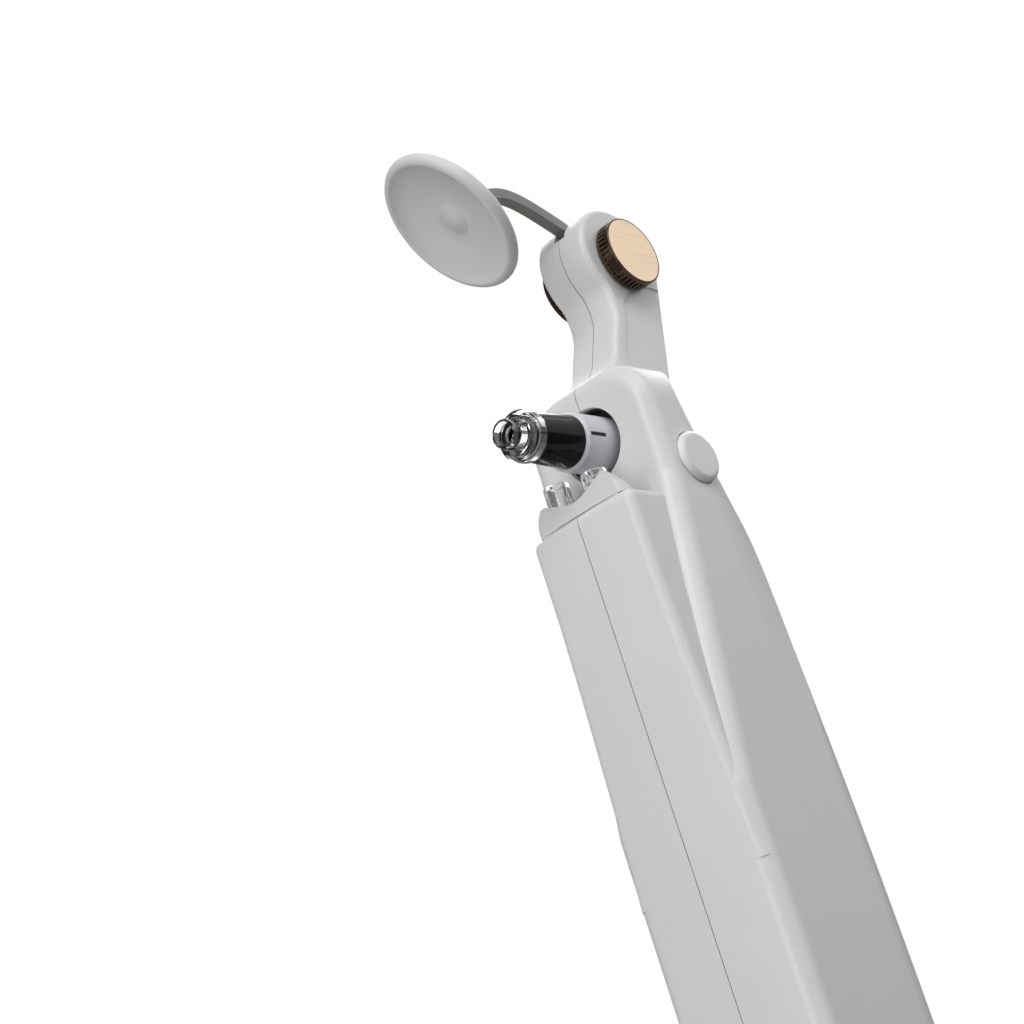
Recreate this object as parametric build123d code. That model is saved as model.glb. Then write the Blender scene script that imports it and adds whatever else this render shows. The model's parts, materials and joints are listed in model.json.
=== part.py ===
from build123d import *
import math
import os

# Hand-held pore vacuum with a folding guide disc.
# Frame: +Z up along the handle, -Y is the front (the suction nozzle points that way),
# +X is the side that carries the push button. The origin is the centre of the base.
# All dimensions in millimetres.

# handle
half_width = 20.0
wall = 2.0
front_y = -23.0
front_crown_radius = 110.0
head_front_y = -8.0
head_top = 200.0
shoulder_radius = 13.0
slope_top = 168.0
slope_bottom = 83.0
front_edge_radius = 4.5
back_edge_radius = 9.5
seam = 0.13
base_thickness = 2.4
fit = 0.15

# front block
block_edge_radius = 2.5
block_root_y = -4.0

# neck and pivot boss
neck_half = 8.0
neck_edge_radius = 1.6
boss_radius = 14.2
boss_y = 19.3
boss_z = 236.0
pivot_y = 19.0
pivot_z = 235.0
arm_half = 1.5
arm_thickness = 2.8
slot_half = 1.8
pocket_half = 2.4
pocket_radius = 9.0
hub_radius = 8.0
shaft_radius = 2.5
running_gap = 0.05

# knobs
knob_radius = 9.4
knob_inner = 8.35
knob_outer = 12.6
nut_radius = 8.8
nut_outer = 11.7
knurl_count = 44

# guide disc on its ball joint
ball_y = -22.4
ball_z = 249.9
ball_radius = 3.0
normal = (-0.392, -0.706, -0.589)

# suction barrel
barrel_z = 183.0
opening_radius = 9.2
collar_radius = 7.2
collar_front = -17.6
collar_back = -1.0
barrel_front = -31.0
nozzle_front = -39.4
flange_radius = 6.3
mount_radius = 11.0

# tray for spare tips
tray_half = 12.3
tray_front = -21.2
lip_half = 14.5
lip_front = -21.9
lip_wall = 1.5
lip_corner = 3.2
tip_places = {-1: (-7.9, 174.8), 1: (4.0, 172.8)}
tip_y = -16.3
tip_radius = 3.3
tray_floor = 162.0
block_top = 163.2

# push button
button_y = 3.4
button_z = 170.6
button_seat = 18.2
button_radius = 6.7
button_proud = 3.5
button_travel = 0.6

# power unit
motor_radius = 12.0
motor_bottom = 91.0
motor_top = 117.0
pump_half = 13.0
hose_y = 5.0
battery_y = -8.0
battery_radius = 9.2
board_y = 5.0

screw_places = [(15.0, 17.0), (15.0, 84.0), (17.0, 116.0), (12.5, 153.0)]
neck_screw = (17.5, 210.0)


def on_x(y, z, x=0.0):
    """Plane facing +X with its local x along +Y and local y along +Z."""
    return Plane(origin=(x, y, z), x_dir=(0, 1, 0), z_dir=(1, 0, 0))


def cyl_x(radius, x0, x1, y, z):
    return Plane(origin=((x0 + x1) / 2, y, z), z_dir=(1, 0, 0)) * Cylinder(radius, x1 - x0)


def cyl_y(radius, y0, y1, x, z, radius_end=None):
    """Cylinder or cone along +Y from y0 to y1."""
    plane = Plane(origin=(x, (y0 + y1) / 2, z), x_dir=(1, 0, 0), z_dir=(0, 1, 0))
    if radius_end is None:
        return plane * Cylinder(radius, y1 - y0)
    return plane * Cone(radius, radius_end, y1 - y0)


def cyl_z(radius, z0, z1, x, y):
    return Pos(x, y, (z0 + z1) / 2) * Cylinder(radius, z1 - z0)


def block(x0, x1, y0, y1, z0, z1):
    return Pos((x0 + x1) / 2, (y0 + y1) / 2, (z0 + z1) / 2) * Box(x1 - x0, y1 - y0, z1 - z0)


def side_sweep(edges, x0, x1):
    """Closed outline in the Y-Z plane swept from x0 to x1."""
    return on_x(0, 0, x0) * extrude(make_face(edges), x1 - x0)


def front_sweep(points, y0, y1):
    """Closed outline in the X-Z plane swept from y0 to y1."""
    face = make_face(Polyline([*points, points[0]]))
    plane = Plane(origin=(0, y1, 0), x_dir=(1, 0, 0), z_dir=(0, -1, 0))
    return plane * extrude(face, y1 - y0)


def edges_where(solid, test):
    return ShapeList([e for e in solid.edges() if test(e)])


def handle_core(i):
    """Rear body and head with every long edge rounded, moved inwards by i."""
    front = Polyline(
        (24.5 - i, 0.0),
        (front_y + i, 0.0),
        (front_y + i, slope_bottom),
        (head_front_y + i, slope_top),
        (head_front_y + i, head_top - i),
        (19.4 - i, head_top - i),
        (20.4 - i, 172.0),
    )
    back = Spline(
        (20.4 - i, 172.0), (21.6 - i, 130.0), (23.6 - i, 85.0), (24.4 - i, 40.0), (24.5 - i, 0.0)
    )
    side = half_width - i
    top_z = head_top - i
    body = side_sweep([front, back], -side, side)
    top = edges_where(
        body,
        lambda e: abs(abs(e.center().X) - side) < 0.01 and abs(e.center().Z - top_z) < 0.01,
    )
    body = fillet(top, shoulder_radius - i)
    crown = cyl_z(front_crown_radius - i, -1, 260, 0, front_y + front_crown_radius)
    body = body & crown
    rear = edges_where(
        body,
        lambda e: abs(abs(e.center().X) - side) < 2.5
        and e.center().Y > 15
        and e.length > 10
        and abs((e % 0.5).Z) > 0.5,
    )
    body = fillet(rear, back_edge_radius - i)
    body = body & head_envelope(i)
    front = edges_where(
        body,
        lambda e: (abs(abs(e.center().X) - side) < 2.5 or e.center().Z > top_z - 8)
        and e.center().Y < 0
        and e.center().Z > 1
        and abs((e % 0.5).Y) < 0.35
        and e.length > 8,
    )
    return fillet(front, front_edge_radius - i)


def head_envelope(i):
    """Rounds the back of the handle towards the top, so the head is D-shaped in plan."""
    low = [(-5.0, 70.0), (110.0, 56.0), (140.0, 37.0), (157.0, 29.5)]
    high = [(170.0, 24.0), (182.0, 20.2), (200.5, 16.5)]
    rings = []
    for z, depth in low + high:
        rings.append(Plane(origin=(0, 0, z)) * Ellipse(half_width + 0.3 - i, depth - i))
    round_back = loft(rings)
    return round_back + block(-30, 30, -40, 0, -5, 210)


def shoulder_cut():
    """Waste behind the sloping shoulders of the head."""
    foot = Plane(origin=(0, 0, 163)) * Ellipse(half_width + 0.3, 27.1)
    crest = Plane(origin=(0, 0, 203)) * Ellipse(half_width + 0.3, 8.6)
    return block(-30, 30, 0, 45, 164, 202) - loft([foot, crest], ruled=True)


def block_side(i):
    """Right edge of the front block seen from the front, from the bottom up."""
    return [
        (19.4 - i, 72.0),
        (18.8 - i, 82.0),
        (17.7 - i, 104.0),
        (16.8 - i, 124.0),
        (16.3 - i, 142.0),
    ]


def both_sides(right):
    """Complete a right-hand outline that ends on the middle plane with its mirror image."""
    return right + [(-x, z) for x, z in reversed(right[:-1])]


def front_block(i):
    """Front block with sharp corners, moved inwards by i."""
    top = block_top if i == 0 else block_top - 3.2
    right = [*block_side(i), (16.3 - i, top), (0.0, top)]
    body = front_sweep(both_sides(right), front_y + i, block_root_y)
    crown = cyl_z(front_crown_radius - i, -1, 260, 0, front_y + front_crown_radius)
    return body & crown


def soft_front_block():
    """Front block with rounded long corners and a rounded top edge."""
    body = front_block(0)
    corners = edges_where(
        body,
        lambda e: abs(e.center().X) > 14 and e.center().Y < -18 and abs((e % 0.5).Z) > 0.8,
    )
    rims = edges_where(
        body,
        lambda e: e.center().Z > block_top - 0.1
        and (abs(e.center().X) > 14 or e.center().Y < -20),
    )
    return fillet(corners + rims, block_edge_radius)


def neck():
    """Neck that leans back into the round pivot boss."""
    turn = math.radians(218)
    meet = (boss_y + boss_radius * math.cos(turn), boss_z + boss_radius * math.sin(turn))
    run = (-math.sin(turn), math.cos(turn))
    foot = (boss_y, 190.0)
    reach = boss_z - foot[1]
    lean = math.pi / 2 - math.asin(boss_radius / reach)
    length = math.sqrt(reach**2 - boss_radius**2)
    touch = (foot[0] + length * math.cos(lean), foot[1] + length * math.sin(lean))
    front = Spline(
        meet, (9.5, 222.4), (9.1, 218.4), (7.4, 214.6), (5.0, 210.0), (2.5, 205.2), (-0.6, 201.4),
        (-3.6, 199.0), tangents=(run, (-0.85, -0.5)),
    )
    base = Polyline((-3.6, 199.0), (-3.6, 190.0), foot, touch)
    boss = ThreePointArc(touch, (boss_y, boss_z + boss_radius), meet)
    body = side_sweep([front, base, boss], -neck_half, neck_half)
    rims = edges_where(
        body,
        lambda e: abs(abs(e.center().X) - neck_half) < 0.01 and e.center().Z > 196 and e.length > 9.5,
    )
    return fillet(rims, neck_edge_radius)


def neck_root():
    """Spine that carries the neck down into the back of the head."""
    outline = Polyline(
        (4.0, 192.0), (19.9, 192.0), (19.3, 190.0), (19.6, 182.0), (20.4, 172.0), (20.5, 164.0),
        (4.0, 164.0), (4.0, 192.0),
    )
    body = side_sweep([outline], -neck_half, neck_half)
    rear = edges_where(
        body,
        lambda e: abs(abs(e.center().X) - neck_half) < 0.01 and e.center().Y > 19 and e.length > 7,
    )
    return fillet(rear, neck_edge_radius)


def neck_panels():
    """Shallow flat recess on both sides of the neck, open at the back."""
    edge = Polyline(
        (13.2, 221.0), (12.0, 216.4), (8.6, 209.6), (6.4, 204.4), (5.6, 201.6), (27.0, 201.6), (36.0, 225.0)
    )
    top = ThreePointArc((36.0, 225.0), (22.0, 227.2), (13.2, 221.0))
    right = side_sweep([edge, top], neck_half - 0.45, neck_half + 1)
    left = side_sweep([edge, top], -neck_half - 1, -neck_half + 0.45)
    return right + left


def handle_outside():
    rear = handle_core(0) - shoulder_cut()
    return rear + soft_front_block() + neck_root() + neck()


def inside_spaces():
    """Space for the works, open at the base: rear body, barrel chamber and front block."""
    rear = handle_core(wall) & block(-30, 30, -40, 40, -1, 178.6)
    rear = rear + cyl_y(mount_radius + 0.3, head_front_y + wall, 10.0, 0, barrel_z)
    rear = rear - block(-30, 30, front_y, head_front_y + wall, 157.6, 230)
    front = front_block(wall) & block(-30, 30, -40, 40, 60, 157.6)
    return [rear, front]


def arm_slot():
    """Space in the boss for the arm hub, and the slot the arm sweeps through."""
    pocket = cyl_x(pocket_radius, -pocket_half, pocket_half, pivot_y, pivot_z)
    far = 26.0
    points = [(pivot_y, pivot_z)]
    for angle in (146, 120, 90, 60, 34):
        a = math.radians(angle)
        points.append((pivot_y + far * math.cos(a), pivot_z + far * math.sin(a)))
    sweep_space = side_sweep([Polyline(*points, points[0])], -slot_half, slot_half)
    return pocket + sweep_space + cyl_x(shaft_radius + running_gap, -9, 9, pivot_y, pivot_z)


def screw_bosses(side):
    """Tubes from the side walls to the seam for the casing screws."""
    posts = []
    for y, z in screw_places:
        x0, x1 = (seam, half_width) if side > 0 else (-half_width, -seam)
        posts.append(cyl_x(3.2, x0, x1, y, z) & handle_core(1.0))
    return posts


def screw_bores(side):
    """Counterbores in the left half, pilot holes in the right half."""
    bores = []
    if side > 0:
        for y, z in [*screw_places, neck_screw]:
            bores.append(cyl_x(1.25, -0.5, 6.6, y, z))
        return bores
    for y, z in screw_places:
        bores.append(cyl_x(2.8, -25, -12.0, y, z))
        bores.append(cyl_x(1.45, -13, 0.5, y, z))
    bores.append(cyl_x(2.8, -12, -6.4, *neck_screw))
    bores.append(cyl_x(1.45, -7, 0.5, *neck_screw))
    return bores


def casing_half(shell, side):
    """One half of the casing, cut at the seam, with its screw bosses."""
    x0, x1 = (seam, 40) if side > 0 else (-40, -seam)
    half = shell & block(x0, x1, -60, 60, -5, 270)
    for post in screw_bosses(side):
        half = half + post
    for bore in screw_bores(side):
        half = half - bore
    return half


def casing_shell():
    """Both halves before the cut."""
    shell = handle_outside()
    for space in inside_spaces():
        shell = shell - space
    shell = shell - neck_panels()
    shell = shell - arm_slot()
    shell = shell - cyl_y(opening_radius, -14, -2, 0, barrel_z)
    shell = shell - tray_space()
    shell = shell - cyl_x(button_radius + 0.25, 14, 30, button_y, button_z)
    return shell - block(-9, 9, 19, 30, 4.6, 5.0)


def tray_space():
    """Pocket in the top of the front block that takes the tray."""
    return block(-tray_half - fit, tray_half + fit, tray_front - fit, head_front_y, 157.4, 176)


def lip_plan(i):
    """Space inside the rounded plan outline of the lip, moved inwards by i."""
    side = lip_half - i
    body = block(-side, side, lip_front + i, -12, block_top + 0.05, 172)
    middle = lip_front + front_crown_radius
    body = body & cyl_z(front_crown_radius - i, 150, 180, 0, middle)
    corners = edges_where(body, lambda e: e.center().Y < -19.5 and abs((e % 0.5).Z) > 0.9)
    return fillet(corners, lip_corner - i)


def lip_outline():
    """Front view of the raised lip: low in the middle, stepped up to both sides."""
    right = [
        (lip_half + 1, 162.0),
        (lip_half + 1, 163.4),
        (lip_half, 163.8),
        (12.0, 168.0),
        (10.6, 169.6),
        (9.0, 169.6),
        (2.4, 166.8),
        (0.0, 166.5),
    ]
    return both_sides(right)


def tip_tray():
    """Insert in the top of the front block: lip, floor and two locating pegs."""
    lip = (lip_plan(0) - lip_plan(lip_wall)) & front_sweep(lip_outline(), -30, -18.6)
    floor = block(-tray_half, tray_half, tray_front, head_front_y - fit, 157.6, tray_floor)
    rim = block(-tray_half, tray_half, tray_front, lip_front + lip_wall, 157.6, block_top + 1.2)
    body = lip + floor + rim
    for x, top in tip_places.values():
        body = body + cyl_z(1.2, tray_floor - 0.5, tray_floor + 0.7, x, tip_y)
    return body


def spare_tip(side):
    """Small clear cup that stands over its peg."""
    x, top = tip_places[side]
    z0 = tray_floor + 0.1
    outer = cyl_z(tip_radius, z0, z0 + 1.2, x, tip_y)
    outer = outer + cyl_z(tip_radius - 0.3, z0, top - 1.0, x, tip_y)
    outer = outer + cyl_z(tip_radius - 0.1, top - 4.6, top, x, tip_y)
    outer = outer - cyl_z(tip_radius - 0.8, z0 - 1, top - 6.0, x, tip_y)
    return outer - cyl_z(1.6, z0, top + 2, x, tip_y)


def casing_screws():
    """Pan-head screws that pull the two halves together."""
    screws = []
    for y, z in screw_places:
        screws.append(screw(-12.0, y, z))
    screws.append(screw(-6.4, *neck_screw))
    return screws


def screw(seat_x, y, z):
    head = cyl_x(2.4, seat_x - 1.7, seat_x - 0.02, y, z)
    head = head - block(seat_x - 2, seat_x - 0.9, y - 1.5, y + 1.5, z - 0.3, z + 0.3)
    head = head - block(seat_x - 2, seat_x - 0.9, y - 0.3, y + 0.3, z - 1.5, z + 1.5)
    return head + cyl_x(1.2, seat_x - 0.1, 6.2, y, z)


def inside_outline(z0, z1, gap):
    """Slice of the inner space, used for plates that close the handle."""
    return handle_core(wall + gap) & block(-30, 30, -40, 40, z0, z1)


def base_cap():
    """Plate that closes the bottom of the handle, with the socket opening."""
    plate = inside_outline(0, base_thickness, fit)
    slot = block(-4.55, 4.55, board_y - 1.85, board_y + 1.35, -1, 4)
    return plate - fillet(edges_where(slot, lambda e: abs((e % 0.5).Z) > 0.9), 1.4)


def charging_socket():
    """Metal charging socket on the bottom edge of the board."""
    y0 = board_y - 1.65
    y1 = board_y + 1.15
    shell = block(-4.35, 4.35, y0, y1, 0.3, 7.2)
    shell = fillet(edges_where(shell, lambda e: abs((e % 0.5).Z) > 0.9), 1.3)
    hollow = block(-4.05, 4.05, y0 + 0.3, y1 - 0.3, -1, 5.6)
    hollow = fillet(edges_where(hollow, lambda e: abs((e % 0.5).Z) > 0.9), 1.0)
    tongue = block(-3.2, 3.2, board_y - 0.6, board_y + 0.1, 1.0, 6.0)
    return shell - hollow + tongue


def circuit_board():
    plate = block(-13, 13, board_y + 1.2, board_y + 2.8, 3.2, 84)
    chips = block(-7, 0, board_y + 2.7, board_y + 4.2, 28, 35)
    chips = chips + block(3, 8, board_y + 2.7, board_y + 4.0, 48, 53)
    chips = chips + block(-9, -5, board_y + 2.7, board_y + 5.0, 60, 66)
    return plate + chips


def battery():
    """Round rechargeable cell."""
    can = cyl_z(battery_radius, 18, 82.4, 0, battery_y)
    return can + cyl_z(2.8, 82.3, 83.4, 0, battery_y)


def battery_cradle():
    """Clips and end stops that hold the cell."""
    parts = block(-10.6, 10.6, -18.6, 2.0, 15.6, 17.8)
    parts = parts + block(-10.6, 10.6, 2.0, 3.6, 15.6, 60)
    for z in (24, 52):
        ring = cyl_z(10.6, z, z + 4, 0, battery_y) - cyl_z(battery_radius + 0.1, z - 1, z + 5, 0, battery_y)
        parts = parts + (ring & block(-11, 11, -12, 4, z, z + 4))
    return parts - cyl_z(battery_radius + 0.1, 17.9, 90, 0, battery_y)


def motor():
    can = cyl_z(motor_radius, motor_bottom, motor_top, 0, 0)
    can = can + cyl_z(3.2, motor_top, motor_top + 1.0, 0, 0)
    can = can + block(-7, -4.5, 2, 3, motor_bottom - 2.2, motor_bottom)
    can = can + block(4.5, 7, 2, 3, motor_bottom - 2.2, motor_bottom)
    return can - cyl_z(1.1, motor_bottom + 3, motor_top + 2, 0, 0)


def motor_mount():
    """Cup that carries the motor and rests on ribs of the casing."""
    cup = block(-15, 15, -15, 15, 88.2, 90.7) + block(-15, 15, -15, 15, 90.6, 97)
    cup = cup - cyl_z(motor_radius + 0.1, 90.8, 99, 0, 0)
    return cup - block(-9, 9, 0, 5, 87, 91)


def crank():
    """Motor shaft with the eccentric that drives the pump."""
    shaft = cyl_z(1.0, motor_bottom + 4, 127.6, 0, 0)
    return shaft + cyl_z(5.4, 121.4, 127.4, 1.3, 0)


def pump_body():
    box = block(-pump_half, pump_half, -pump_half, pump_half, 118.2, 134.0)
    box = fillet(edges_where(box, lambda e: abs((e % 0.5).Z) > 0.9), 2.5)
    box = box - cyl_z(9.8, 120.4, 140, 0, 0)
    return box - cyl_z(1.6, 117, 122, 0, 0) - cyl_z(3.4, 117, 118.9, 0, 0)


def diaphragm():
    """Rubber sheet with three pumping cups and the driven plate below."""
    sheet = block(-pump_half, pump_half, -pump_half, pump_half, 134.05, 135.25)
    sheet = fillet(edges_where(sheet, lambda e: abs((e % 0.5).Z) > 0.9), 2.5)
    for k in range(3):
        a = math.radians(90 + 120 * k)
        sheet = sheet + cyl_z(3.2, 130.0, 134.6, 5.6 * math.cos(a), 5.6 * math.sin(a))
    return sheet + cyl_z(9.2, 128.6, 130.2, 0, 0)


def pump_head():
    """Valve head with the suction barb on top."""
    head = block(-pump_half, pump_half, -pump_half, pump_half, 135.3, 143.0)
    head = fillet(edges_where(head, lambda e: abs((e % 0.5).Z) > 0.9), 2.5)
    head = head + cyl_z(2.0, 142.9, 149, 0, hose_y) + cyl_z(1.8, 142.9, 146.5, 7.5, -7.5)
    head = head - cyl_z(1.1, 139, 150, 0, hose_y) - cyl_z(1.0, 139, 147, 7.5, -7.5)
    return head


def suction_hose():
    hose = cyl_z(3.1, 143.6, 169.6, 0, hose_y)
    return hose - cyl_z(2.05, 143, 170, 0, hose_y)


def barrel_mount():
    """Black cup behind the round opening that carries the barrel."""
    cup = cyl_y(mount_radius, head_front_y + wall + 0.2, 9.6, 0, barrel_z)
    cup = cup - cyl_y(collar_radius + running_gap, -10, 0.4, 0, barrel_z)
    cup = cup - cyl_y(5.6, 0.3, 8.2, 0, barrel_z)
    cup = cup - cyl_y(8.6, -10, -3.4, 0, barrel_z)
    barb = cyl_z(2.0, 164.6, 175.5, 0, hose_y)
    return cup + barb - cyl_z(1.1, 164, 180, 0, hose_y)


def filter_pad():
    """Foam disc that keeps skin debris out of the pump."""
    return cyl_y(5.4, 0.9, 3.3, 0, barrel_z)


def collar():
    """White sleeve that turns with the barrel; its front rim is bevelled."""
    body = cyl_y(collar_radius, collar_front + 0.8, collar_back, 0, barrel_z)
    body = body + cyl_y(6.5, collar_front, collar_front + 0.8, 0, barrel_z, collar_radius)
    body = body - cyl_y(5.75, -30, 5, 0, barrel_z)
    return body - index_space(0.02)


def index_space(gap):
    return block(6.85 - gap, 8, -16.2 - gap, -10.8 + gap, barrel_z - 1.5 - gap, barrel_z - 0.6 + gap)


def index_mark():
    """Printed dash let into the sleeve."""
    return index_space(0) & cyl_y(collar_radius, -20, 0, 0, barrel_z)


def barrel():
    """Black suction tube: tapered outside, spigot for the clear tip in front."""
    body = cyl_y(5.8, barrel_front, collar_front - 0.05, 0, barrel_z, 6.6)
    body = body + cyl_y(5.7, collar_front - 0.1, -0.4, 0, barrel_z)
    body = body + cyl_y(4.4, barrel_front - 4.0, barrel_front + 0.1, 0, barrel_z)
    body = body - cyl_y(2.6, -50, 5, 0, barrel_z)
    return body - seal_ring_space()


def seal_ring_space():
    plane = Plane(origin=(0, barrel_front - 2.2, barrel_z), z_dir=(0, 1, 0))
    return plane * (Cylinder(6, 1.2) - Cylinder(3.8, 2))


def tip_seal():
    """Rubber ring in the spigot groove."""
    plane = Plane(origin=(0, barrel_front - 2.2, barrel_z), z_dir=(0, 1, 0))
    return plane * Torus(4.05, 0.23) + plane * (Cylinder(4.36, 0.9) - Cylinder(3.85, 2))


def nozzle_tip():
    """Clear plug-on tip: wide rim against the barrel, stepped cup in front."""
    y = barrel_front
    body = cyl_y(flange_radius, y - 3.0, y - 0.1, 0, barrel_z)
    body = body - cyl_y(5.6, y - 4.0, y - 1.5, 0, barrel_z)
    body = body + cyl_y(4.9, y - 4.9, y - 1.4, 0, barrel_z, 5.1)
    body = body + cyl_y(3.6, y - 6.0, y - 4.8, 0, barrel_z, 4.9)
    body = body + cyl_y(3.5, nozzle_front, y - 5.9, 0, barrel_z)
    body = body - cyl_y(4.45, y - 4.2, y + 1, 0, barrel_z)
    body = body - cyl_y(2.3, y - 12, y, 0, barrel_z)
    return body - cyl_y(2.9, y - 12, nozzle_front + 3.2, 0, barrel_z)


def side_button():
    """Round push button with a flange that keeps it in the casing."""
    top = button_seat + button_proud
    cap = cyl_x(button_radius, 14.8, top, button_y, button_z)
    cap = fillet(edges_where(cap, lambda e: e.center().X > top - 0.1), 1.5)
    cap = cap - cyl_x(5.2, 14, top - 1.8, button_y, button_z)
    for z in (button_z - 6.9, button_z + 6.9):
        cap = cap + block(14.8, 15.9, button_y - 1.5, button_y + 1.5, z - 0.6, z + 0.6)
    return cap + cyl_x(1.5, 15.0, top - 1.0, button_y, button_z)


def button_spring():
    """Return spring between the button flange and the switch board."""
    coil = Helix(pitch=1.15, height=6.7, radius=4.3)
    start = Plane(origin=coil @ 0, z_dir=coil % 0)
    wire = sweep(start * Circle(0.22), coil)
    base = Plane(origin=(12.25, button_y, button_z), z_dir=(1, 0, 0))
    return base * wire


def switch_board():
    """Small board behind the button."""
    return block(10.9, 11.9, button_y - 5.5, button_y + 4, button_z - 6, button_z + 4)


def tact_switch():
    body = block(11.95, 13.6, button_y - 2.3, button_y + 2.3, button_z - 2.3, button_z + 2.3)
    return body + cyl_x(1.4, 13.5, 14.35, button_y, button_z)


def arm_path():
    """Centre line of the arm from its hub to the ball socket."""
    return Spline(
        (17.4, 239.6), (14.2, 243.4), (10.2, 246.3), (5.4, 248.5), (0.4, 250.5), (-5.0, 252.2),
        (-10.0, 252.9), (-15.0, 252.2), (-19.6, 250.6),
    )


def arm():
    """Flat-section arm with its hub and the socket for the ball."""
    path = on_x(0, 0) * arm_path()
    start = Plane(origin=path @ 0, x_dir=(1, 0, 0), z_dir=path % 0)
    strip = sweep(start * Rectangle(2 * arm_half, arm_thickness), path)
    hub = cyl_x(hub_radius, -arm_half, arm_half, pivot_y, pivot_z)
    body = hub + strip
    body = body + Pos(0, ball_y, ball_z) * Sphere(ball_radius + 1.3)
    body = body - Pos(0, ball_y, ball_z) * Sphere(ball_radius + running_gap)
    mouth = Plane(origin=(0, ball_y, ball_z), z_dir=normal)
    body = body - mouth * Pos(0, 0, 10 + 0.9) * Cylinder(8, 20)
    return body - cyl_x(shaft_radius + running_gap, -5, 5, pivot_y, pivot_z)


def ball():
    return Pos(0, ball_y, ball_z) * Sphere(ball_radius)


def disc_stud():
    """Stem from the ball to the guide disc."""
    stem = disc_plane() * Pos(0, 0, 4.3) * Cylinder(1.3, 2.4)
    foot = disc_plane() * Pos(0, 0, 5.4) * Cylinder(3.4, 0.8)
    return stem + foot


def disc_plane():
    return Plane(origin=(0, ball_y, ball_z), z_dir=normal)


def guide_disc():
    """Shallow dish with a rounded lip and a raised centre."""
    back = Spline((0.0, 5.85), (6.0, 5.95), (12.0, 6.4), (17.0, 7.1), (19.0, 7.7))
    lip = Spline((19.0, 7.7), (19.8, 8.7), (19.5, 9.9), (18.6, 10.7), (17.6, 10.7))
    dish = Spline((17.6, 10.7), (15.6, 9.7), (12.0, 8.8), (8.5, 8.2), (4.6, 8.1))
    nub = Spline((4.6, 8.1), (3.2, 8.5), (1.6, 8.85), (0.0, 8.95))
    axis = Line((0.0, 8.95), (0.0, 5.85))
    face = make_face([back, lip, dish, nub, axis])
    return disc_plane() * revolve(Plane.XZ * face, Axis.Z)


def knob_size(side):
    """Radius and outer end of the knob on one side; the left one is the smaller nut."""
    return (knob_radius, knob_outer) if side > 0 else (nut_radius, nut_outer)


def knob(side):
    """Knurled clamping knob: two smooth rings with a grooved band between them."""
    radius, outer = knob_size(side)
    x0 = side * knob_inner
    x1 = side * outer
    body = cyl_x(radius, min(x0, x1), max(x0, x1), pivot_y, pivot_z)
    rims = edges_where(body, lambda e: e.geom_type == GeomType.CIRCLE)
    body = fillet(rims, 0.25)
    x_low = side * (knob_inner + 0.9)
    x_high = side * (outer - 1.0)
    for k in range(knurl_count):
        angle = 360 * k / knurl_count
        notch = Pos(0, 0, radius) * Box(abs(x_high - x_low), 0.62, 0.9)
        place = Pos((x_low + x_high) / 2, pivot_y, pivot_z) * Rotation(angle, 0, 0)
        body = body - place * notch
    seat = side * (outer - 0.5)
    body = body - cyl_x(radius - 0.4, min(seat, seat + side), max(seat, seat + side), pivot_y, pivot_z)
    bore_end = side * (outer - 1.6)
    return body - cyl_x(shaft_radius + 0.02, min(0, bore_end), max(0, bore_end), pivot_y, pivot_z)


def knob_face(side):
    """Brushed metal disc set into the end of a knob."""
    radius, outer = knob_size(side)
    x0 = side * (outer - 0.48)
    x1 = side * (outer - 0.05)
    return cyl_x(radius - 0.44, min(x0, x1), max(x0, x1), pivot_y, pivot_z)


def pivot_shaft():
    return cyl_x(shaft_radius, -nut_outer + 1.8, knob_outer - 1.8, pivot_y, pivot_z)


def friction_washer(side):
    """Washer between the arm hub and the cheek of the boss."""
    x0 = side * (arm_half + 0.05)
    x1 = side * (pocket_half - 0.05)
    ring = cyl_x(6.6, min(x0, x1), max(x0, x1), pivot_y, pivot_z)
    return ring - cyl_x(shaft_radius + running_gap, -5, 5, pivot_y, pivot_z)


def save(shape, name):
    """Write one sub-part, as a group of solids when it has several."""
    if isinstance(shape, list):
        shape = Compound(children=shape)
    export_step(shape, "parts/" + name + ".step")


os.makedirs("parts", exist_ok=True)
shell = casing_shell()
save(casing_half(shell, -1), "casing_left")
save(casing_half(shell, 1), "casing_right")
save(casing_screws(), "casing_screws")
save(base_cap(), "base_cap")
save(charging_socket(), "charging_socket")
save(circuit_board(), "circuit_board")
save(battery(), "battery_cell")
save(battery_cradle(), "battery_cradle")
save(motor(), "motor")
save(motor_mount(), "motor_mount")
save(crank(), "motor_crank")
save(pump_body(), "pump_body")
save(diaphragm(), "pump_diaphragm")
save(pump_head(), "pump_head")
save(suction_hose(), "suction_hose")
save(barrel_mount(), "barrel_mount")
save(filter_pad(), "filter_pad")
save(collar(), "barrel_collar")
save(index_mark(), "collar_index_mark")
save(barrel(), "suction_barrel")
save(tip_seal(), "tip_seal_ring")
save(nozzle_tip(), "nozzle_tip")
save(tip_tray(), "tip_tray")
save(spare_tip(-1), "spare_tip_left")
save(spare_tip(1), "spare_tip_right")
save(side_button(), "side_button")
save(button_spring(), "button_spring")
save(switch_board(), "switch_board")
save(tact_switch(), "tact_switch")
save(pivot_shaft(), "pivot_shaft")
save(friction_washer(-1), "friction_washer_left")
save(friction_washer(1), "friction_washer_right")
save(knob(-1), "knob_left")
save(knob(1), "knob_right")
save(knob_face(-1), "knob_face_left")
save(knob_face(1), "knob_face_right")
save(arm(), "disc_arm")
save(ball(), "disc_ball")
save(disc_stud(), "disc_stud")
save(guide_disc(), "guide_disc")
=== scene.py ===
import json
import math

import bpy
from mathutils import Matrix, Vector


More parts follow.
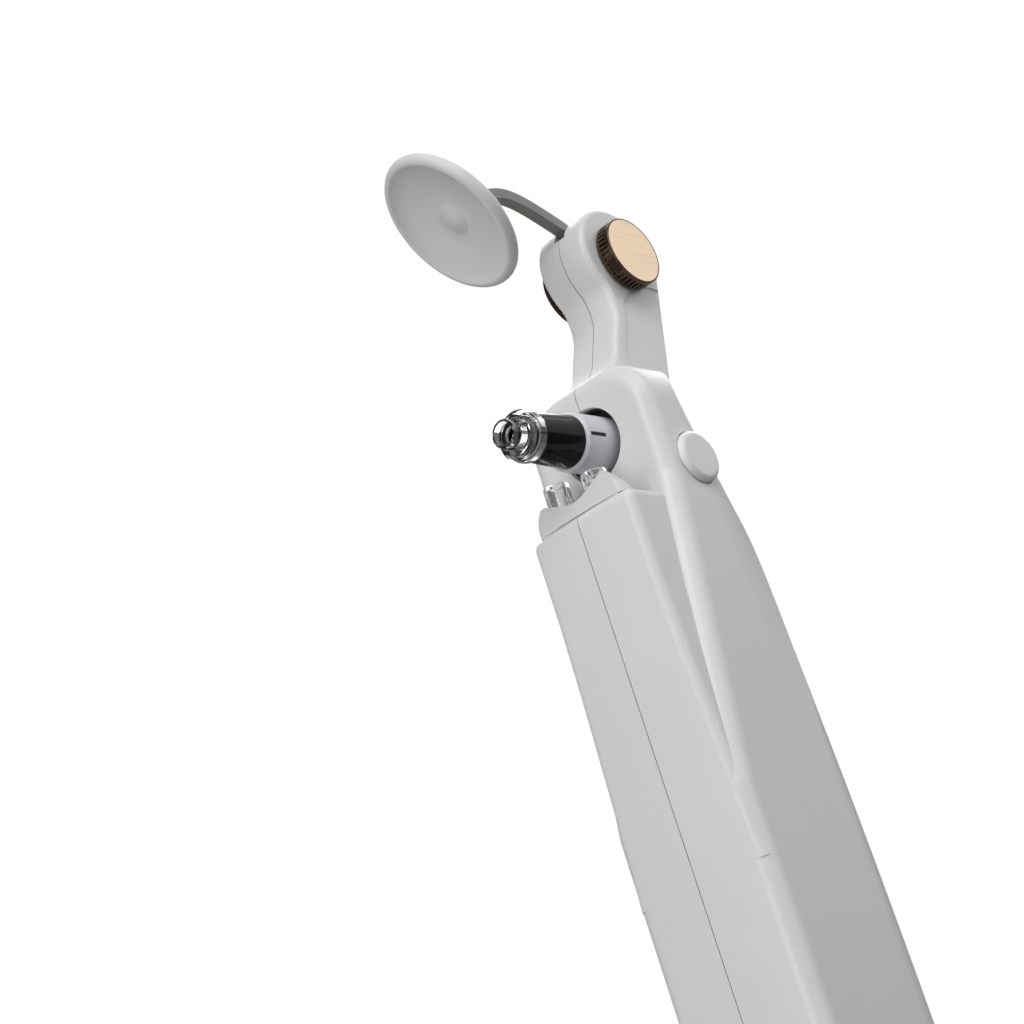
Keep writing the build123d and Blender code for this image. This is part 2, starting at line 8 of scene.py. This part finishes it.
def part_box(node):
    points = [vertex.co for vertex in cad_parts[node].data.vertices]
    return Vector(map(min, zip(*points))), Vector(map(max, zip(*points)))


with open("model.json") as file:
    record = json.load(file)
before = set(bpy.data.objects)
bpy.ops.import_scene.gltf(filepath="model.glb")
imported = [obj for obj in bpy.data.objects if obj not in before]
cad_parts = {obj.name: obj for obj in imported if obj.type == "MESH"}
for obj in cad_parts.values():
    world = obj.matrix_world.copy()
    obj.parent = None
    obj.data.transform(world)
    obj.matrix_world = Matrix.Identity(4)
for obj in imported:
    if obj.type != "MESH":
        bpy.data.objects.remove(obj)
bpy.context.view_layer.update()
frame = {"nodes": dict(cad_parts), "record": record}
nodes = frame["nodes"]

# Camera: direction as azimuth, elevation and roll in degrees, then its place beside the arm's pivot in metres.
CAMERA_TURN = (38.26, -19.89, 17.79)
CAMERA_LENS = 85.0
CAMERA_SENSOR = 36.0
CAMERA_DISTANCE = 0.620
CAMERA_RIGHT = -0.02226
CAMERA_UP = -0.06081

# Floor: depth below the base and half its width, in metres.
FLOOR_DEPTH = 0.45
FLOOR_HALF = 8.0

# Soft boxes: name, angle to the right of the camera, angle above it, power in watts, diameter in metres.
SOFT_BOXES = [
    ("top", 0, 75, 4.0, 0.7),
    ("key", -45, 40, 4.6, 0.7),
    ("left", -40, 0, 3.6, 0.7),
    ("right", 45, 40, 1.1, 0.7),
    ("low_left", -100, -40, 2.0, 0.7),
    ("rim", 118, 35, 2.6, 1.2),
    ("behind", 180, 30, 8.0, 1.2),
]
BOX_DISTANCE = 1.2
BOX_TARGET = (0, 0, 0.15)
AMBIENT = 0.17

# Small lamp behind the knob: direction towards it, point it looks at, distance, power and cone angle.
SPOT_DIRECTION = (0.58, 0.63, 0.52)
SPOT_TARGET = (0.008, 0.02, 0.225)
SPOT_DISTANCE = 0.6
SPOT_POWER = 0.75
SPOT_CONE = 13


# ---------------------------------------------------------------- materials
class Mat:
    """A small helper around one procedural node material."""

    def __init__(self, name, color, roughness=0.4, **inputs):
        self.mat = bpy.data.materials.new(name)
        self.mat.use_nodes = True
        self.tree = self.mat.node_tree
        self.tree.nodes.clear()
        self.out = self.new("ShaderNodeOutputMaterial")
        self.bsdf = self.new("ShaderNodeBsdfPrincipled")
        self.link(self.bsdf.outputs[0], self.out.inputs["Surface"])
        self.bsdf.inputs["Base Color"].default_value = (*color, 1)
        self.bsdf.inputs["Roughness"].default_value = roughness
        for key, value in inputs.items():
            self.bsdf.inputs[key.replace("_", " ")].default_value = value
        self.coord = self.new("ShaderNodeTexCoord").outputs["Object"]
        self.color = color
        self.normal = None

    def new(self, kind):
        return self.tree.nodes.new(kind)

    def link(self, a, b):
        self.tree.links.new(a, b)

    def noise(self, scale, detail=3.0, stretch=None, rough=0.55):
        node = self.new("ShaderNodeTexNoise")
        node.inputs["Scale"].default_value = scale
        node.inputs["Detail"].default_value = detail
        node.inputs["Roughness"].default_value = rough
        source = self.coord
        if stretch:
            mapping = self.new("ShaderNodeMapping")
            mapping.inputs["Scale"].default_value = stretch
            self.link(source, mapping.inputs["Vector"])
            source = mapping.outputs[0]
        self.link(source, node.inputs["Vector"])
        return node.outputs["Fac"]

    def ramp(self, value, low, high, a=0.0, b=1.0):
        node = self.new("ShaderNodeMapRange")
        node.inputs["From Min"].default_value = a
        node.inputs["From Max"].default_value = b
        node.inputs["To Min"].default_value = low
        node.inputs["To Max"].default_value = high
        self.link(value, node.inputs["Value"])
        return node.outputs[0]

    def tint(self, value, dark, light, a=0.3, b=0.7):
        """Colour variation between two shades of the base colour."""
        node = self.new("ShaderNodeMix")
        node.data_type = "RGBA"
        self.link(self.ramp(value, 0.0, 1.0, a, b), node.inputs["Factor"])
        node.inputs[6].default_value = (*[c * dark for c in self.color], 1)
        node.inputs[7].default_value = (*[min(1.0, c * light) for c in self.color], 1)
        self.link(node.outputs[2], self.bsdf.inputs["Base Color"])
        return self

    def rough(self, value, low, high):
        self.link(self.ramp(value, low, high, 0.25, 0.75), self.bsdf.inputs["Roughness"])
        return self

    def bump(self, value, distance, strength=1.0):
        node = self.new("ShaderNodeBump")
        node.inputs["Distance"].default_value = distance
        node.inputs["Strength"].default_value = strength
        self.link(value, node.inputs["Height"])
        if self.normal:
            self.link(self.normal, node.inputs["Normal"])
        self.normal = node.outputs[0]
        self.link(self.normal, self.bsdf.inputs["Normal"])
        return self


def moulded(name, color, low, high, grain=2600.0, depth=0.000004, **inputs):
    """Moulded plastic: faint cloudiness, uneven gloss and a fine grain."""
    m = Mat(name, color, (low + high) / 2, **inputs)
    m.tint(m.noise(38.0, 4.0), 0.985, 1.01)
    m.rough(m.noise(120.0, 5.0), low, high)
    m.bump(m.noise(grain, 2.0), depth)
    m.bump(m.noise(160.0, 2.0), 0.000006, 0.5)
    return m.mat


white = moulded("casing_white", (0.80, 0.80, 0.795), 0.30, 0.38)
button_white = moulded("button_white", (0.83, 0.83, 0.83), 0.22, 0.30)
disc_white = moulded("disc_white", (0.74, 0.745, 0.735), 0.36, 0.44)
tray_white = moulded("tray_white", (0.76, 0.76, 0.755), 0.34, 0.42)
lilac = moulded("collar_lilac_white", (0.78, 0.77, 0.82), 0.38, 0.46)
arm_grey = moulded("arm_grey", (0.26, 0.25, 0.24), 0.36, 0.46)
ball_grey = moulded("ball_grey", (0.33, 0.33, 0.32), 0.40, 0.48)
black_gloss = moulded(
    "barrel_black", (0.003, 0.003, 0.003), 0.10, 0.15, Specular_IOR_Level=0.22
)
black_matt = moulded("mount_black", (0.012, 0.012, 0.012), 0.5, 0.6)
ink = moulded("mark_black", (0.008, 0.008, 0.008), 0.5, 0.6)
rubber = moulded("rubber_black", (0.02, 0.02, 0.02), 0.6, 0.7)
grey_plastic = moulded("grey_plastic", (0.36, 0.36, 0.37), 0.45, 0.55)
board = moulded("board_green", (0.03, 0.2, 0.09), 0.3, 0.4)
cell = moulded("cell_blue", (0.06, 0.15, 0.36), 0.25, 0.35)
silicone = moulded("hose_silicone", (0.68, 0.68, 0.65), 0.4, 0.5)
foam = moulded("foam_grey", (0.45, 0.45, 0.45), 0.8, 0.9, grain=1500.0, depth=0.0001)


def clear_plastic():
    m = Mat("clear_tip", (0.97, 0.97, 0.97), 0.03, Transmission_Weight=1.0, IOR=1.49)
    m.rough(m.noise(300.0, 3.0), 0.015, 0.06)
    m.bump(m.noise(220.0, 2.0), 0.000008, 0.5)
    return m.mat


def steel(name, color, low, high, grain=(900.0, 40.0, 900.0)):
    m = Mat(name, color, (low + high) / 2, Metallic=1.0)
    m.tint(m.noise(1.0, 4.0, grain), 0.9, 1.06)
    m.rough(m.noise(1.0, 4.0, grain), low, high)
    m.bump(m.noise(1.0, 4.0, grain), 0.000004, 0.6)
    return m.mat


clear = clear_plastic()
bright = steel("steel", (0.62, 0.62, 0.61), 0.22, 0.36)
rose_face = steel("rose_gold_face", (0.93, 0.72, 0.52), 0.24, 0.38, (6.0, 60.0, 1400.0))
# Painted shade: the knob's knurled side is the same rose gold as its face, darkened here to a near-black brown
# to stand in for the shade it sits in.
rose_gold_painted_shade = steel("rose_gold_side", (0.12, 0.078, 0.058), 0.20, 0.32)

# The record's material slots and the material that each one gets.
LOOKS = {
    "casing_white": white, "button_white": button_white, "disc_white": disc_white,
    "tray_white": tray_white, "collar_lilac_white": lilac, "arm_grey": arm_grey,
    "ball_grey": ball_grey, "barrel_black": black_gloss,
    "mount_black": black_matt, "mark_black": ink, "rubber_black": rubber,
    "grey_plastic": grey_plastic, "board_green": board, "cell_blue": cell,
    "hose_silicone": silicone, "foam_grey": foam, "clear_tip": clear, "steel": bright,
    "rose_gold_face": rose_face, "rose_gold_side": rose_gold_painted_shade,
}


def paint(obj, material):
    if not obj.material_slots:
        obj.data.materials.append(material)
    for s in obj.material_slots:
        s.material = material


for part in frame["record"]["subparts"]:
    paint(nodes[part["node"]], LOOKS[part["material_slot"]])


# ---------------------------------------------------------------- camera
def camera():
    data = bpy.data.cameras.new("camera")
    data.sensor_width = CAMERA_SENSOR
    data.lens = CAMERA_LENS
    data.clip_start = 0.01
    data.clip_end = 20.0
    obj = bpy.data.objects.new("camera", data)
    bpy.context.scene.collection.objects.link(obj)
    azimuth, elevation, roll = (math.radians(v) for v in CAMERA_TURN)
    toward = Vector((
        math.sin(azimuth) * math.cos(elevation),
        -math.cos(azimuth) * math.cos(elevation),
        math.sin(elevation),
    ))
    right = Vector((math.cos(azimuth), math.sin(azimuth), 0))
    up = toward.cross(right)
    turned_right = math.cos(roll) * right - math.sin(roll) * up
    turned_up = math.sin(roll) * right + math.cos(roll) * up
    lo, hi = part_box("pivot_shaft")
    pivot = Vector((0, (lo[1] + hi[1]) / 2, (lo[2] + hi[2]) / 2))
    place = pivot + CAMERA_RIGHT * turned_right + CAMERA_UP * turned_up + CAMERA_DISTANCE * toward
    rotation = Matrix((turned_right, turned_up, toward)).transposed()
    obj.matrix_world = Matrix.Translation(place) @ rotation.to_4x4()
    bpy.context.scene.camera = obj
    return obj


cam = camera()


# ---------------------------------------------------------------- floor, light
def studio():
    """White surroundings for the camera, and a dim even light for the object."""
    world = bpy.data.worlds.new("studio")
    bpy.context.scene.world = world
    world.use_nodes = True
    tree = world.node_tree
    tree.nodes.clear()
    seen = tree.nodes.new("ShaderNodeBackground")
    seen.inputs["Color"].default_value = (1, 1, 1, 1)
    lit = tree.nodes.new("ShaderNodeBackground")
    lit.inputs["Color"].default_value = (1, 1, 1, 1)
    lit.inputs["Strength"].default_value = AMBIENT
    path = tree.nodes.new("ShaderNodeLightPath")
    mix = tree.nodes.new("ShaderNodeMixShader")
    out = tree.nodes.new("ShaderNodeOutputWorld")
    tree.links.new(path.outputs["Is Camera Ray"], mix.inputs[0])
    tree.links.new(lit.outputs[0], mix.inputs[1])
    tree.links.new(seen.outputs[0], mix.inputs[2])
    tree.links.new(mix.outputs[0], out.inputs["Surface"])


def pale_floor(depth, size):
    mesh = bpy.data.meshes.new("floor")
    corners = [(-size, -size, 0), (size, -size, 0), (size, size, 0), (-size, size, 0)]
    mesh.from_pydata(corners, [], [(0, 1, 2, 3)])
    floor = bpy.data.objects.new("floor", mesh)
    floor.location.z = -depth
    floor.visible_diffuse = False
    floor.visible_glossy = False
    bpy.context.scene.collection.objects.link(floor)
    m = Mat("floor_pale", (0.5, 0.5, 0.5), 0.9, Emission_Strength=0.93)
    m.bsdf.inputs["Emission Color"].default_value = (1, 1, 1, 1)
    m.tint(m.noise(2.0, 3.0), 0.98, 1.0)
    paint(floor, m.mat)


def soft_light(name, azimuth, elevation, power, size):
    """A round soft box; its direction is measured from the camera, to the right and up."""
    data = bpy.data.lights.new(name, "AREA")
    data.shape = "DISK"
    data.size = size
    data.energy = power
    obj = bpy.data.objects.new(name, data)
    bpy.context.scene.collection.objects.link(obj)
    a, e = math.radians(azimuth), math.radians(elevation)
    from_camera = Vector((math.sin(a) * math.cos(e), math.sin(e), math.cos(a) * math.cos(e)))
    direction = cam.matrix_world.to_3x3() @ from_camera
    obj.rotation_euler = (-direction).to_track_quat("-Z", "Y").to_euler()
    obj.location = Vector(BOX_TARGET) + BOX_DISTANCE * direction


def small_spot(name):
    """A small lamp that throws the crisp shadow of the knob onto the neck."""
    data = bpy.data.lights.new(name, "SPOT")
    data.energy = SPOT_POWER
    data.shadow_soft_size = 0.012
    data.spot_size = math.radians(SPOT_CONE)
    data.spot_blend = 0.7
    obj = bpy.data.objects.new(name, data)
    bpy.context.scene.collection.objects.link(obj)
    way = Vector(SPOT_DIRECTION).normalized()
    obj.rotation_euler = (-way).to_track_quat("-Z", "Y").to_euler()
    obj.location = Vector(SPOT_TARGET) + SPOT_DISTANCE * way
    obj.visible_glossy = False


studio()
pale_floor(FLOOR_DEPTH, FLOOR_HALF)
for box in SOFT_BOXES:
    soft_light(*box)
small_spot("knob_spot")
bpy.context.scene.view_settings.view_transform = "Standard"
